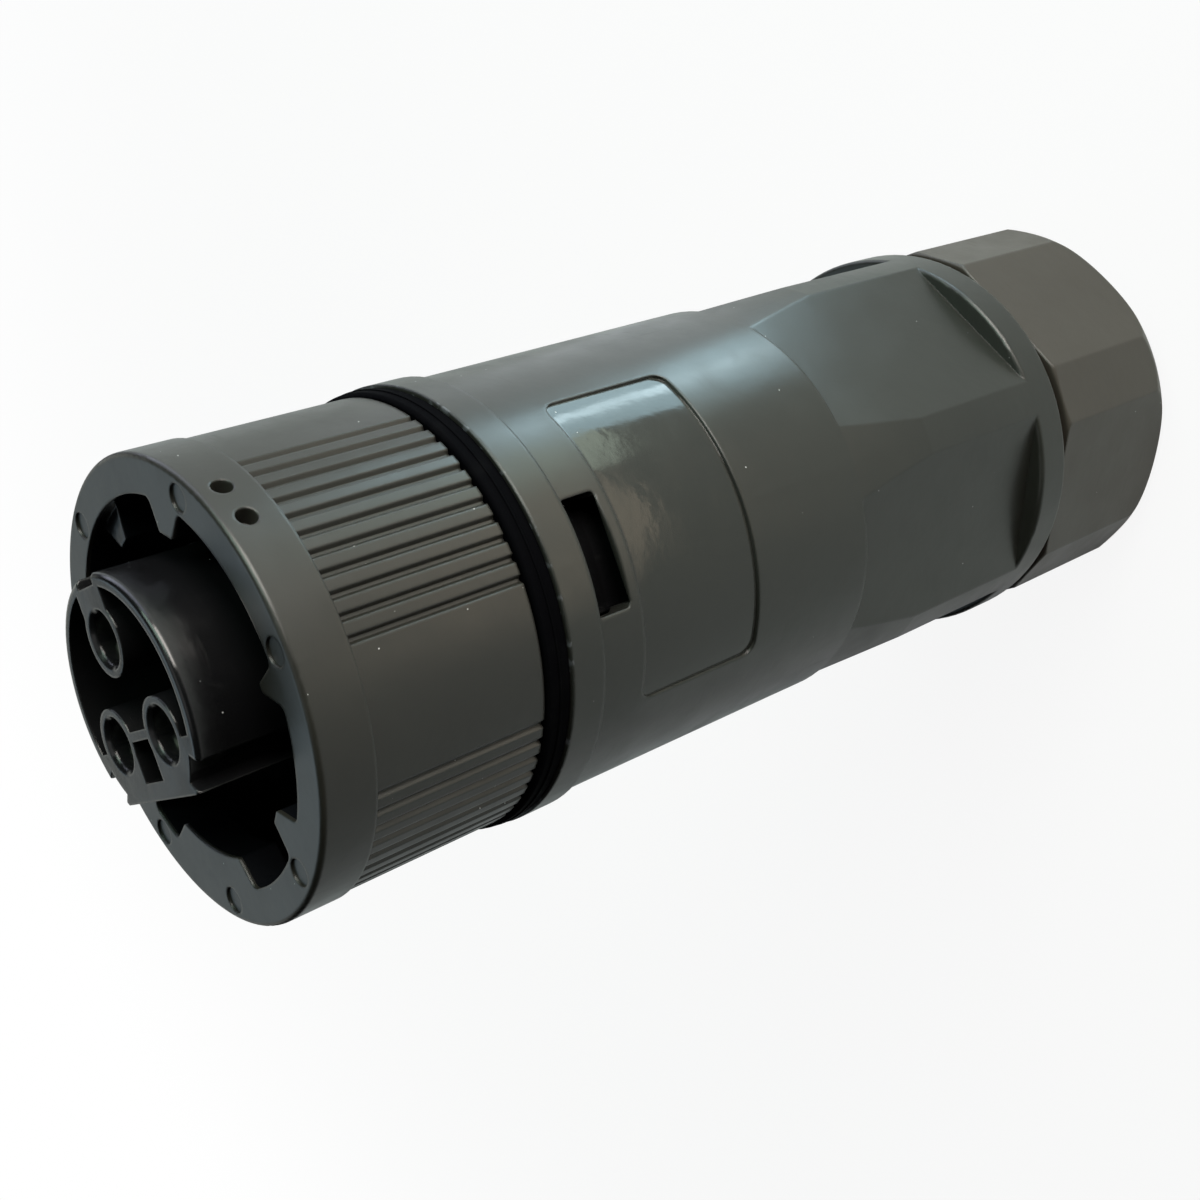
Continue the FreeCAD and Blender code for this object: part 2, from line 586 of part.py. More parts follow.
def lock_ring():
    """Bayonet ring with a smooth rim, groups of ribs, inner lugs and a stop slot."""
    shape = turned((
        (BARREL_RADIUS + RUNNING_FIT, Z_RING_REAR),
        (RIBBED_RADIUS, Z_RING_REAR),
        (RIBBED_RADIUS, Z_RING_FRONT - RIM_LENGTH),
        (RIM_RADIUS, Z_RING_FRONT - RIM_LENGTH),
        (RIM_RADIUS, Z_RING_FRONT),
        (TRACK_RADIUS, Z_RING_FRONT),
        (TRACK_RADIUS, Z_WEB_TOP),
        (BARREL_RADIUS + RUNNING_FIT, Z_WEB_TOP),
    ))
    shape = shape.makeFillet(RIM_ROUND, rim_edges(shape, RIM_RADIUS, Z_RING_FRONT))
    shape = shape.fuse([bayonet_lug(middle, width) for middle, width in LUGS])
    for radius, size in ((TRACK_RADIUS, LUG_FOOT_ROUND), (LUG_RADIUS, LUG_TIP_ROUND)):
        edges = upright_edges(shape, radius, Z_RING_FRONT - LUG_LENGTH, Z_RING_FRONT)
        shape = shape.makeFillet(size, edges)
    shape = shape.fuse(bayonet_lug(*SUNK_LUG, SUNK_LUG_SETBACK))
    cuts = rib_grooves()
    for angle in DIMPLE_ANGLES:
        foot = polar(RIM_RADIUS - DIMPLE_DEPTH, angle, Z_RING_FRONT - DIMPLE_SETBACK)
        cuts.append(Part.makeCone(DIMPLE_FLOOR, 2 * DIMPLE_RADIUS - DIMPLE_FLOOR, 2 * DIMPLE_DEPTH,
                                  foot, polar(1, angle)))
    for angle in MARK_ANGLES:
        centre = polar(TRACK_RADIUS + MARK_STEP, angle)
        cuts.append(cylinder(MARK_RADIUS, Z_RING_FRONT - MARK_DEPTH, Z_RING_FRONT + OVERCUT, centre))
    spare = STOP_WIDTH / 2 + math.degrees(FREE_GAP / TRACK_RADIUS)
    cuts.append(sector(STOP_RADIUS - STOP_THICKNESS - FREE_GAP, STOP_RADIUS + FREE_GAP, Z_RING_REAR,
                       Z_INSERT_FLANGE + STOP_HEIGHT + FREE_GAP,
                       STOP_ANGLE - LOCK_TRAVEL - spare, STOP_ANGLE + spare))
    return shape.cut(cuts)


def gland_claw():
    """Cage in the spigot whose fingers close on the rubber sleeve."""
    shape = turned((
        (CLAW_BORE, Z_SPIGOT_END + CLAW_LENGTH),
        (CLAW_BORE, Z_FINGER_TIP),
        (CLAW_BORE + FINGER_TIP, Z_FINGER_TIP),
        (CLAW_RADIUS, Z_CLAW_FLANGE),
        (CLAW_FLANGE_RADIUS, Z_CLAW_FLANGE),
        (CLAW_FLANGE_RADIUS, Z_SPIGOT_END),
        (CLAW_RADIUS, Z_SPIGOT_END),
        (CLAW_RADIUS, Z_SPIGOT_END + CLAW_LENGTH),
    ))
    slot = block(CLAW_BORE / 2, CLAW_RADIUS + OVERCUT, -FINGER_SLOT / 2, FINGER_SLOT / 2,
                 Z_FINGER_TIP, Z_CLAW_FLANGE)
    return shape.cut(around(slot, FINGER_COUNT))


def cable_grommet():
    """Rubber sleeve with a flared bore that seals on the cable."""
    low = Z_FINGER_TIP
    high = low + GROMMET_LENGTH
    return turned((
        (GROMMET_BORE + GROMMET_LIP, low),
        (GROMMET_RADIUS, low),
        (GROMMET_RADIUS, high),
        (GROMMET_BORE + GROMMET_LIP, high),
        (GROMMET_BORE, high - GROMMET_LIP),
        (GROMMET_BORE, low + GROMMET_LIP),
    ))


def nut_blank():
    """Turned blank of the nut with a rounded rear end."""
    middle = Vector((NUT_END_RADIUS + 2 * NUT_BLANK_RADIUS) / 3, 0, NUT_END_ROUND / 3)
    foot = Vector(NUT_END_RADIUS, 0, 0)
    shoulder = Vector(NUT_BLANK_RADIUS, 0, NUT_END_ROUND)
    neck = Vector(NUT_BLANK_RADIUS, 0, NUT_LENGTH - NUT_FRONT_CHAMFER)
    front = Vector(NUT_BLANK_RADIUS - NUT_FRONT_CHAMFER, 0, NUT_LENGTH)
    outline = Part.Wire([
        Part.makeLine(ORIGIN, foot),
        Part.Arc(foot, middle, shoulder).toShape(),
        Part.makeLine(shoulder, neck),
        Part.makeLine(neck, front),
        Part.makeLine(front, Vector(0, 0, NUT_LENGTH)),
        Part.makeLine(Vector(0, 0, NUT_LENGTH), ORIGIN),
    ])
    return Part.Face(outline).revolve(ORIGIN, AXIS, 360)


def gland_nut():
    """Six-sided nut with cut corners, an inner cone and a cable hole."""
    shape = nut_blank()
    for apothem, turn in ((NUT_APOTHEM, 0), (NUT_CORNER_APOTHEM, 180 / FLAT_COUNT)):
        side = block(apothem, apothem + OVERCUT, -NUT_BLANK_RADIUS, NUT_BLANK_RADIUS, 0, NUT_LENGTH)
        shape = shape.cut(around(side, FLAT_COUNT, FIRST_FLAT_ANGLE + NUT_TURN + turn))
    inside = turned((
        (0, -OVERCUT),
        (CABLE_HOLE_RADIUS, -OVERCUT),
        (CABLE_HOLE_RADIUS, Z_FINGER_TIP - FREE_GAP),
        (CLAW_BORE + FINGER_TIP + FREE_GAP, Z_FINGER_TIP - FREE_GAP),
        (CLAW_FLANGE_RADIUS + FREE_GAP, Z_CLAW_FLANGE - FREE_GAP),
        (NUT_BORE, Z_CLAW_FLANGE - FREE_GAP),
        (NUT_BORE, NUT_LENGTH + OVERCUT),
        (0, NUT_LENGTH + OVERCUT),
    ))
    return shape.cut(inside)


def main():
    """Build every piece and write it to its own file."""
    pieces = {
        "gland_nut": gland_nut(),
        "gland_claw": gland_claw(),
        "cable_grommet": cable_grommet(),
        "housing": housing(),
        "body_gasket": body_gasket(),
        "contact_insert": contact_insert(),
        "mating_seal": mating_seal(),
        "lock_ring": lock_ring(),
    }
    for pole, angle in POLES.items():
        pieces[pole + "_contact"] = contact(angle)
        pieces[pole + "_contact_spring"] = contact_spring(angle)
        pieces[pole + "_terminal_screw"] = terminal_screw(angle)
    os.makedirs("parts", exist_ok=True)
    for name, shape in pieces.items():
        shape.exportStep("parts/" + name + ".step")
        print(name, "solids", len(shape.Solids), "valid", shape.isValid(), "volume", round(shape.Volume, 2))


main()
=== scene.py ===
"""Looks of the in-line cable connector: finishes, small turned details, light and camera.

Lengths are in metres, in the part's own frame. +Z runs from the gland nut, on which the
connector stands, to the mating end, and +Y points to the key of the contact insert.
"""
import logging
import math
from dataclasses import dataclass
from enum import Enum
from typing import Any

import bpy
from mathutils import Matrix, Vector


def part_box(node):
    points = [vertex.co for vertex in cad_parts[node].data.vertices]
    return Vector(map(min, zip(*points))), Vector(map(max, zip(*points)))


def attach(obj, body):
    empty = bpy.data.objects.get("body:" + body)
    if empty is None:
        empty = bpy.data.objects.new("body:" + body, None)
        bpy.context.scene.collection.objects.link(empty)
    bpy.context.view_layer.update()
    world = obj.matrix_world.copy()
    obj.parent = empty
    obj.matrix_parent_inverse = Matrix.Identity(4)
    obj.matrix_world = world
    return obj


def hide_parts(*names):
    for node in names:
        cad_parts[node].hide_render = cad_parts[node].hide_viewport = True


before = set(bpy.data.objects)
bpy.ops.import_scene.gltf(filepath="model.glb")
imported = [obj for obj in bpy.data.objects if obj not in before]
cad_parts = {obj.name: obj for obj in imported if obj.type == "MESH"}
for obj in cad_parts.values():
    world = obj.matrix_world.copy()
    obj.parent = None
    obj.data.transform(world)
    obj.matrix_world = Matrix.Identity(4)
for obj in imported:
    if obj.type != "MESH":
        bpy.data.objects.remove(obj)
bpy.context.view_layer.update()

Colour = tuple[float, float, float]
Point = tuple[float, float, float]
Range = tuple[float, float]
Profile = list[tuple[float, float]]

MM = 0.001
MICRON = 1.0e-6
NOISE_MIDDLE = 0.5
SHARP_ANGLE = math.radians(40.0)
WHITE: Colour = (1.0, 1.0, 1.0)
CONNECTOR_BODY = "connector_body"
LOG = logging.getLogger("connector")


class MixKind(Enum):
    """Kinds of Mix node: data type, numbers of the two inputs and number of the output."""

    COLOUR = ("RGBA", 6, 7, 2)
    VECTOR = ("VECTOR", 4, 5, 1)


class Pole(Enum):
    """Poles of the connector, each with a contact, a spring and a screw."""

    EARTH = "earth"
    LINE = "line"
    NEUTRAL = "neutral"


def rgba(colour: Colour) -> tuple[float, float, float, float]:
    """Opaque colour of a shader socket."""
    return (*colour, 1.0)


class Value:
    """A shader socket that takes part in Python arithmetic by adding Math nodes."""

    def __init__(self, shader: "Shader", socket: bpy.types.NodeSocket) -> None:
        """Wrap an output socket of one of the shader's nodes."""
        self.shader = shader
        self.socket = socket

    def math(self, operation: str, *terms: Any) -> "Value":
        """Result of a Math node with up to three numbers or sockets."""
        return self.shader.node("Math", {"operation": operation}, dict(enumerate(terms)))

    def __add__(self, other: Any) -> "Value":
        """Sum."""
        return self.math("ADD", self, other)

    def __radd__(self, other: Any) -> "Value":
        """Sum with a number first."""
        return self.math("ADD", other, self)

    def __sub__(self, other: Any) -> "Value":
        """Difference."""
        return self.math("SUBTRACT", self, other)

    def __rsub__(self, other: Any) -> "Value":
        """Difference with a number first."""
        return self.math("SUBTRACT", other, self)

    def __mul__(self, other: Any) -> "Value":
        """Product."""
        return self.math("MULTIPLY", self, other)

    def __rmul__(self, other: Any) -> "Value":
        """Product with a number first."""
        return self.math("MULTIPLY", other, self)

    def __pow__(self, other: Any) -> "Value":
        """Power."""
        return self.math("POWER", self, other)

    def __lt__(self, other: Any) -> "Value":
        """One where the socket is below a limit, else zero."""
        return self.math("LESS_THAN", self, other)

    def __gt__(self, other: Any) -> "Value":
        """One where the socket is above a limit, else zero."""
        return self.math("GREATER_THAN", self, other)

    def __abs__(self) -> "Value":
        """Size without sign."""
        return self.math("ABSOLUTE", self)

    def at_least(self, other: Any) -> "Value":
        """The larger of the socket and another value."""
        return self.math("MAXIMUM", self, other)

    def step(self, low: float, high: float) -> "Value":
        """Smooth rise from zero at the low value to one at the high one."""
        return self.shader.node("MapRange", {"interpolation_type": "SMOOTHSTEP"},
                                {"Value": self, "From Min": low, "From Max": high})


class Shader:
    """Node tree of one material or of the world, with a single way to add any node."""

    def __init__(self, owner: bpy.types.Material | bpy.types.World) -> None:
        """Start a tree with no nodes.

        Args:
            owner: Material or world that the tree belongs to.
        """
        owner.use_nodes = True
        self.owner = owner
        self.tree = owner.node_tree
        self.tree.nodes.clear()

    def node(self, kind: str, settings: dict[str, Any] | None = None,
             inputs: dict[Any, Any] | None = None, outlet: int | str = 0) -> Value:
        """Add a node.

        Args:
            kind: Node type without its ShaderNode prefix.
            settings: Properties that are set before the sockets.
            inputs: Values or links of the sockets, by name or number.
            outlet: Output socket to return.

        Returns:
            The chosen output.
        """
        made = self.tree.nodes.new("ShaderNode" + kind)
        for key, value in (settings or {}).items():
            setattr(made, key, value)
        for key, value in (inputs or {}).items():
            if isinstance(value, Value):
                self.tree.links.new(value.socket, made.inputs[key])
            else:
                made.inputs[key].default_value = value
        return Value(self, made.outputs[outlet] if made.outputs else None)

    def place(self) -> Value:
        """Place on the object, in metres."""
        return self.node("TexCoord", outlet="Object")

    def axes(self) -> list[Value]:
        """Place on the object along X, Y and Z, in metres."""
        place = self.place()
        return [self.node("SeparateXYZ", None, {0: place}, axis) for axis in "XYZ"]

    def blend(self, factor: Any, first: Any, second: Any, kind: MixKind = MixKind.COLOUR) -> Value:
        """Mix of two colours or vectors, with the factor as the share of the second."""
        data_type, one, other, outlet = kind.value
        return self.node("Mix", {"data_type": data_type}, {0: factor, one: first, other: second}, outlet)

    def bump(self, height: Value, depth: float, normal: Value) -> Value:
        """Normal tilted by a height between zero and one that stands for a depth in metres."""
        return self.node("Bump", None, {"Strength": 1.0, "Distance": depth,
                                        "Height": height, "Normal": normal})

    def finish(self, inputs: dict[Any, Any]) -> bpy.types.Material:
        """End the tree with a Principled shader.

        Args:
            inputs: Values or links of the shader's sockets.

        Returns:
            The material.
        """
        surface = self.node("BsdfPrincipled", None, inputs)
        self.node("OutputMaterial", None, {"Surface": surface})
        return self.owner


@dataclass(frozen=True)
class NoiseLayer:
    """Noise fixed to the object: size of a patch, number of finer layers and range that shows.

    The stretch says how much finer the noise is along each axis.
    """

    size: float
    detail: float
    shown: Range = (0.0, 1.0)
    stretch: Point = (1.0, 1.0, 1.0)

    def value(self, shader: Shader) -> Value:
        """Noise between zero and one."""
        scaled = shader.node("VectorMath", {"operation": "MULTIPLY"}, {0: shader.place(), 1: self.stretch})
        return shader.node("TexNoise", None,
                           {"Vector": scaled, "Scale": 1.0 / self.size, "Detail": self.detail})

    def mask(self, shader: Shader) -> Value:
        """Noise as a mask that rises from zero to one over the range that shows."""
        return self.value(shader).step(*self.shown)


@dataclass(frozen=True)
class Dust:
    """Scattered specks: share of the places that has one, spacing of the places and largest radius."""

    share: float
    spacing: float = 1.3 * MM
    radius: float = 0.06 * MM
    colour: Colour = (0.5, 0.5, 0.5)
    cover: float = 0.75

    def mask(self, shader: Shader) -> Value:
        """One inside a speck, else zero.

        Args:
            shader: Material to add the nodes to.

        Returns:
            The mask.
        """
        inputs = {"Vector": shader.place(), "Scale": 1.0 / self.spacing}
        reach = shader.node("TexVoronoi", None, inputs, "Distance")
        cell = shader.node("TexVoronoi", None, inputs, "Color")
        chance = shader.node("SeparateColor", None, {0: cell})
        return (reach < self.radius / self.spacing) * (chance < self.share)


@dataclass(frozen=True)
class SoftEdge:
    """Rounding of sharp edges that stand free. Inner corners stay sharp."""

    radius: float
    samples: int = 6
    open_samples: int = 4
    open_reach: float = 2.0
    open_range: Range = (0.55, 0.9)
    edge_range: Range = (0.02, 0.3)

    def rounded(self, shader: Shader) -> tuple[Value, Value]:
        """Round the edges off.

        Args:
            shader: Material to add the nodes to.

        Returns:
            The normal, and a mask that is one on the edges.
        """
        plain = shader.node("NewGeometry", outlet="Normal")
        bevel = shader.node("Bevel", {"samples": self.samples}, {"Radius": self.radius})
        openness = shader.node("AmbientOcclusion", {"samples": self.open_samples, "only_local": True},
                               {"Distance": self.open_reach * self.radius}, "AO")
        free = openness.step(*self.open_range)
        mixed = shader.blend(free, plain, bevel, MixKind.VECTOR)
        normal = shader.node("VectorMath", {"operation": "NORMALIZE"}, {0: mixed})
        turn = shader.node("VectorMath", {"operation": "DOT_PRODUCT"}, {0: normal, 1: plain}, "Value")
        return normal, (1.0 - turn).step(*self.edge_range)


@dataclass(frozen=True)
class PolishedPanel:
    """Panel that was polished in the mould: its place, and how much smoother it is.

    The half angle is in degrees, to both sides of +X.
    """

    low: float
    high: float
    half_angle: float
    radius: float
    polish: float = 0.2

    def mask(self, shader: Shader) -> Value:
        """One on the panel's floor.

        Args:
            shader: Material to add the nodes to.

        Returns:
            The mask.
        """
        x, y, z = shader.axes()
        radius = (x * x + y * y) ** 0.5
        angle = abs(y.math("ARCTAN2", y, x))
        across = (angle < math.radians(self.half_angle)) * (radius < self.radius)
        return across * (z > self.low) * (z < self.high)


@dataclass(frozen=True)
class ShadedBore:
    """Inside of a moulding, painted darker as shade that falls in the bore, and glossier."""

    radius: float
    high: float
    # Painted shade: the bore's colour, darker than the plastic round it.
    colour: Colour = (0.004, 0.0043, 0.0055)
    polish: float = 0.16

    def mask(self, shader: Shader) -> Value:
        """One inside the bore, below its mouth."""
        x, y, z = shader.axes()
        return ((x * x + y * y) ** 0.5 < self.radius) * (z < self.high)


@dataclass(frozen=True)
class FlashHighlight:
    """Broken line of flash that the mould's parting left round an edge, coloured lighter as a painted
    highlight on the thin flash.
    """

    height: float
    width: float
    # Painted highlight: lighter than the housing, for light caught by the thin flash.
    colour: Colour = (0.07, 0.075, 0.08)
    flecks: NoiseLayer = NoiseLayer(0.9 * MM, 3.0, (0.56, 0.66))

    def mask(self, shader: Shader) -> Value:
        """One on the flecks of flash that carry the painted highlight."""
        z = shader.axes()[-1]
        return (abs(z - self.height) < self.width) * self.flecks.mask(shader)


@dataclass(frozen=True)
class MouldedPlastic:
    """Moulded plastic with eroded grain, faint mottling, handling marks, dust and soft edges.

    The roughness stays above its smoothest value, so that no patch of a satin piece turns glossy.
    """

    name: str
    colour: Colour
    mottle: Colour
    roughness: float
    smoothest: float = 0.28
    edge: SoftEdge = SoftEdge(0.25 * MM)
    wear: float = 0.15
    worn_colour: Colour = (0.035, 0.037, 0.034)
    dust: Dust = Dust(0.15)
    dust_roughness: float = 0.3
    patches: NoiseLayer = NoiseLayer(19.0 * MM, 3.0, (0.3, 0.7))
    clouds: NoiseLayer = NoiseLayer(4.5 * MM, 4.0)
    cloud_contrast: float = 0.28
    scuffs: NoiseLayer = NoiseLayer(0.5 * MM, 3.0, (0.66, 0.78), (1.0, 0.35, 0.06))
    scuff_cover: float = 0.12
    scratches: NoiseLayer = NoiseLayer(0.3 * MM, 2.0, (0.6, 0.8), (0.12, 0.12, 1.0))
    scratch_share: float = 0.4
    mark_roughness: float = 0.05
    grain: NoiseLayer = NoiseLayer(0.2 * MM, 2.0)
    grain_depth: float = 1.5 * MICRON
    swell: NoiseLayer = NoiseLayer(1.7 * MM, 2.0)
    swell_depth: float = 18.0 * MICRON
    panel: PolishedPanel | None = None
    bore: ShadedBore | None = None
    flash: FlashHighlight | None = None

    def material(self) -> bpy.types.Material:
        """Make the finish.

        Returns:
            The material.
        """
        shader = Shader(bpy.data.materials.new(self.name))
        scuffs, scratches = self.scuffs.mask(shader), self.scratches.mask(shader)
        dust = self.dust.mask(shader)
        normal, edge = self.edge.rounded(shader)
        colour = shader.blend(self.patches.mask(shader), rgba(self.colour), rgba(self.mottle))
        colour = shader.blend(scuffs * self.scuff_cover + edge * self.wear, colour, rgba(self.worn_colour))
        colour = shader.blend(dust * self.dust.cover, colour, rgba(self.dust.colour))
        roughness = self.roughness + (self.clouds.value(shader) - NOISE_MIDDLE) * self.cloud_contrast
        roughness = roughness + (scuffs + scratches) * self.mark_roughness + dust * self.dust_roughness
        roughness = roughness.at_least(self.smoothest)
        # Painted highlight on the flecks of flash.
        if self.flash:
            colour = shader.blend(self.flash.mask(shader), colour, rgba(self.flash.colour))
        if self.panel:
            roughness = roughness - self.panel.mask(shader) * self.panel.polish
        if self.bore:
            # Painted shade inside the bore, with a smoother finish there.
            inside = self.bore.mask(shader)
            colour = shader.blend(inside, colour, rgba(self.bore.colour))
            roughness = roughness - inside * self.bore.polish
        grain = self.grain.value(shader) - scratches * self.scratch_share
        fine = shader.bump(grain, self.grain_depth, normal)
        bumps = shader.bump(self.swell.value(shader), self.swell_depth, fine)
        return shader.finish({"Base Color": colour, "Roughness": roughness, "Normal": bumps})


@dataclass(frozen=True)
class MouldedRubber:
    """Black sealing rubber with a fine skin and a little bloom."""

    name: str
    colour: Colour
    roughness: float
    gloss: float = 0.15
    bloom_cover: float = 0.35
    bloom_colour: Colour = (0.045, 0.046, 0.046)
    bloom: NoiseLayer = NoiseLayer(3.0 * MM, 4.0, (0.5, 0.8))
    bloom_contrast: float = 0.2
    skin: NoiseLayer = NoiseLayer(0.12 * MM, 2.0)
    skin_depth: float = 3.0 * MICRON
    edge: SoftEdge = SoftEdge(0.12 * MM)
    dust: Dust = Dust(0.08, 1.1 * MM, 0.05 * MM, (0.45, 0.45, 0.45), 0.6)

    def material(self) -> bpy.types.Material:
        """Make the finish.

        Returns:
            The material.
        """
        shader = Shader(bpy.data.materials.new(self.name))
        bloom = self.bloom.value(shader)
        normal, _ = self.edge.rounded(shader)
        colour = shader.blend(bloom.step(*self.bloom.shown) * self.bloom_cover,
                              rgba(self.colour), rgba(self.bloom_colour))
        colour = shader.blend(self.dust.mask(shader) * self.dust.cover, colour, rgba(self.dust.colour))
        roughness = self.roughness + (bloom - NOISE_MIDDLE) * self.bloom_contrast
        bumps = shader.bump(self.skin.value(shader), self.skin_depth, normal)
        return shader.finish({"Base Color": colour, "Roughness": roughness,
                              "Specular IOR Level": self.gloss, "Normal": bumps})


@dataclass(frozen=True)
class PlatedMetal:
    """Turned and plated metal with fine tool marks and a little tarnish."""

    name: str
    colour: Colour
    tarnish: Colour
    roughness: float
    stain: NoiseLayer = NoiseLayer(2.0 * MM, 4.0, (0.45, 0.75))
    stain_cover: float = 0.6
    stain_roughness: float = 0.08
    turning: NoiseLayer = NoiseLayer(0.06 * MM, 2.0, stretch=(0.05, 0.05, 1.0))
    turning_depth: float = 1.5 * MICRON
    turning_contrast: float = 0.12
    edge: SoftEdge = SoftEdge(0.08 * MM)
    edge_shine: float = 0.5

    def material(self) -> bpy.types.Material:
        """Make the finish.

        Returns:
            The material.
        """
        shader = Shader(bpy.data.materials.new(self.name))
        stain, turning = self.stain.value(shader), self.turning.value(shader)
        normal, edge = self.edge.rounded(shader)
        colour = shader.blend(stain.step(*self.stain.shown) * self.stain_cover,
                              rgba(self.colour), rgba(self.tarnish))
        colour = shader.blend(edge * self.edge_shine, colour, rgba(self.colour))
        roughness = self.roughness + (turning - NOISE_MIDDLE) * self.turning_contrast
        roughness = roughness + stain * self.stain_roughness
        bumps = shader.bump(turning, self.turning_depth, normal)
        return shader.finish({"Base Color": colour, "Metallic": 1.0,
                              "Roughness": roughness, "Normal": bumps})


def dress_node(node: str, material: bpy.types.Material) -> None:
    """Give a CAD node its finish.

    Args:
        node: Name of the node.
        material: The finish.
    """
    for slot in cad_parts[node].material_slots:
        slot.material = material
    LOG.info("dressed %s with %s", node, material.name)


def dress_piece(piece: bpy.types.Object, material: bpy.types.Material) -> None:
    """Give a new piece its finish."""
    piece.data.materials.append(material)
    LOG.info("made %s with %s", piece.name, material.name)


def lathe(name: str, outline: Profile, turns: int, middles: list[Point] | None = None) -> bpy.types.Object:
    """Closed ring swept by one closed outline round the axis.

    Args:
        name: Name of the piece.
        outline: Points of (radius, height).
        turns: Number of steps round the axis.
        middles: Centre that each point's radius is measured from, or none for the axis.

    Returns:
        The piece.
    """
    count = len(outline)
    centres = middles or [(0.0, 0.0, 0.0)] * count
    points, faces = [], []
    for step in range(turns):
        turn = 2.0 * math.pi * step / turns
        for (radius, height), (x, y, z) in zip(outline, centres):
            points.append((x + radius * math.cos(turn), y + radius * math.sin(turn), z + height))
        here, beyond = step * count, (step + 1) % turns * count
        for index in range(count):
            other = (index + 1) % count
            faces.append((here + index, beyond + index, beyond + other, here + other))
    mesh = bpy.data.meshes.new(name)
    mesh.from_pydata(points, [], faces)
    mesh.validate()
    mesh.shade_smooth()
    mesh.set_sharp_from_angle(angle=SHARP_ANGLE)
    piece = bpy.data.objects.new(name, mesh)
    bpy.context.scene.collection.objects.link(piece)
    return piece


@dataclass
class GlandEnd:
    """Gland nut, claw and rubber sleeve, whose bore has rounded ribs that grip the cable."""

    bore: float = 5.6 * MM
    groove: float = 0.6 * MM
    flare: float = 0.8 * MM
    ribs: int = 5
    rib_points: int = 6
    turns: int = 96
    # Painted light: the nut's colour is lighter and warmer than the housing's, making up for the shade it
    # gets near the floor.
    nut: MouldedPlastic = MouldedPlastic(
        "nut_satin_lit", colour=(0.0360, 0.0302, 0.0242), mottle=(0.0405, 0.0342, 0.0276), roughness=0.36,
        edge=SoftEdge(0.45 * MM))
    claw: MouldedPlastic = MouldedPlastic(
        "claw_matt", colour=(0.03, 0.03, 0.03), mottle=(0.04, 0.04, 0.04), roughness=0.5)
    rubber: MouldedRubber = MouldedRubber("sleeve_rubber", colour=(0.02, 0.02, 0.02), roughness=0.55)

    def build(self) -> bpy.types.Object:
        """Make the ribbed sleeve in place of the plain one.

        Returns:
            The sleeve.
        """
        corner_low, corner_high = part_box("cable_grommet")
        radius, low, high = corner_high[0], corner_low[2], corner_high[2]
        outline = [(radius, low), (radius, high), (self.bore + self.flare, high)]
        count = self.ribs * self.rib_points
        for index in range(count + 1):
            share = index / count
            crest = 0.5 - 0.5 * math.cos(2.0 * math.pi * self.ribs * share)
            height = high - self.flare - (high - low - 2.0 * self.flare) * share
            outline.append((self.bore + self.groove * (1.0 - crest), height))
        outline.append((self.bore + self.flare, low))
        sleeve = lathe("ribbed_sleeve", outline, self.turns)
        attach(sleeve, CONNECTOR_BODY)
        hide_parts("cable_grommet")
        return sleeve

    def dress(self) -> None:
        """Give the pieces their finishes."""
        dress_node("gland_nut", self.nut.material())
        dress_node("gland_claw", self.claw.material())
        dress_piece(self.build(), self.rubber.material())


@dataclass
class Housing:
    """Housing, with a polished panel and a painted highlight on the flash at the collar's edge, and the
    gasket in front of it, whose near-black colour is partly painted shade.
    """

    shell: MouldedPlastic = MouldedPlastic(
        "housing_satin", colour=(0.0148, 0.0152, 0.0128), mottle=(0.0170, 0.0176, 0.0148), roughness=0.31,
        edge=SoftEdge(0.4 * MM), flash=FlashHighlight(height=78.05 * MM, width=0.14 * MM),
        panel=PolishedPanel(low=59.0 * MM, high=71.0 * MM, half_angle=41.7, radius=16.97 * MM))
    # Black rubber whose colour is set near zero, partly as painted shade in the gap between the lock ring
    # and the housing.
    gasket: MouldedRubber = MouldedRubber(
        "gasket_rubber", colour=(0.0015, 0.0015, 0.002), roughness=0.7, gloss=0.01, bloom_cover=0.03)

    def dress(self) -> None:
        """Give the pieces their finishes."""
        dress_node("housing", self.shell.material())
        dress_node("body_gasket", self.gasket.material())


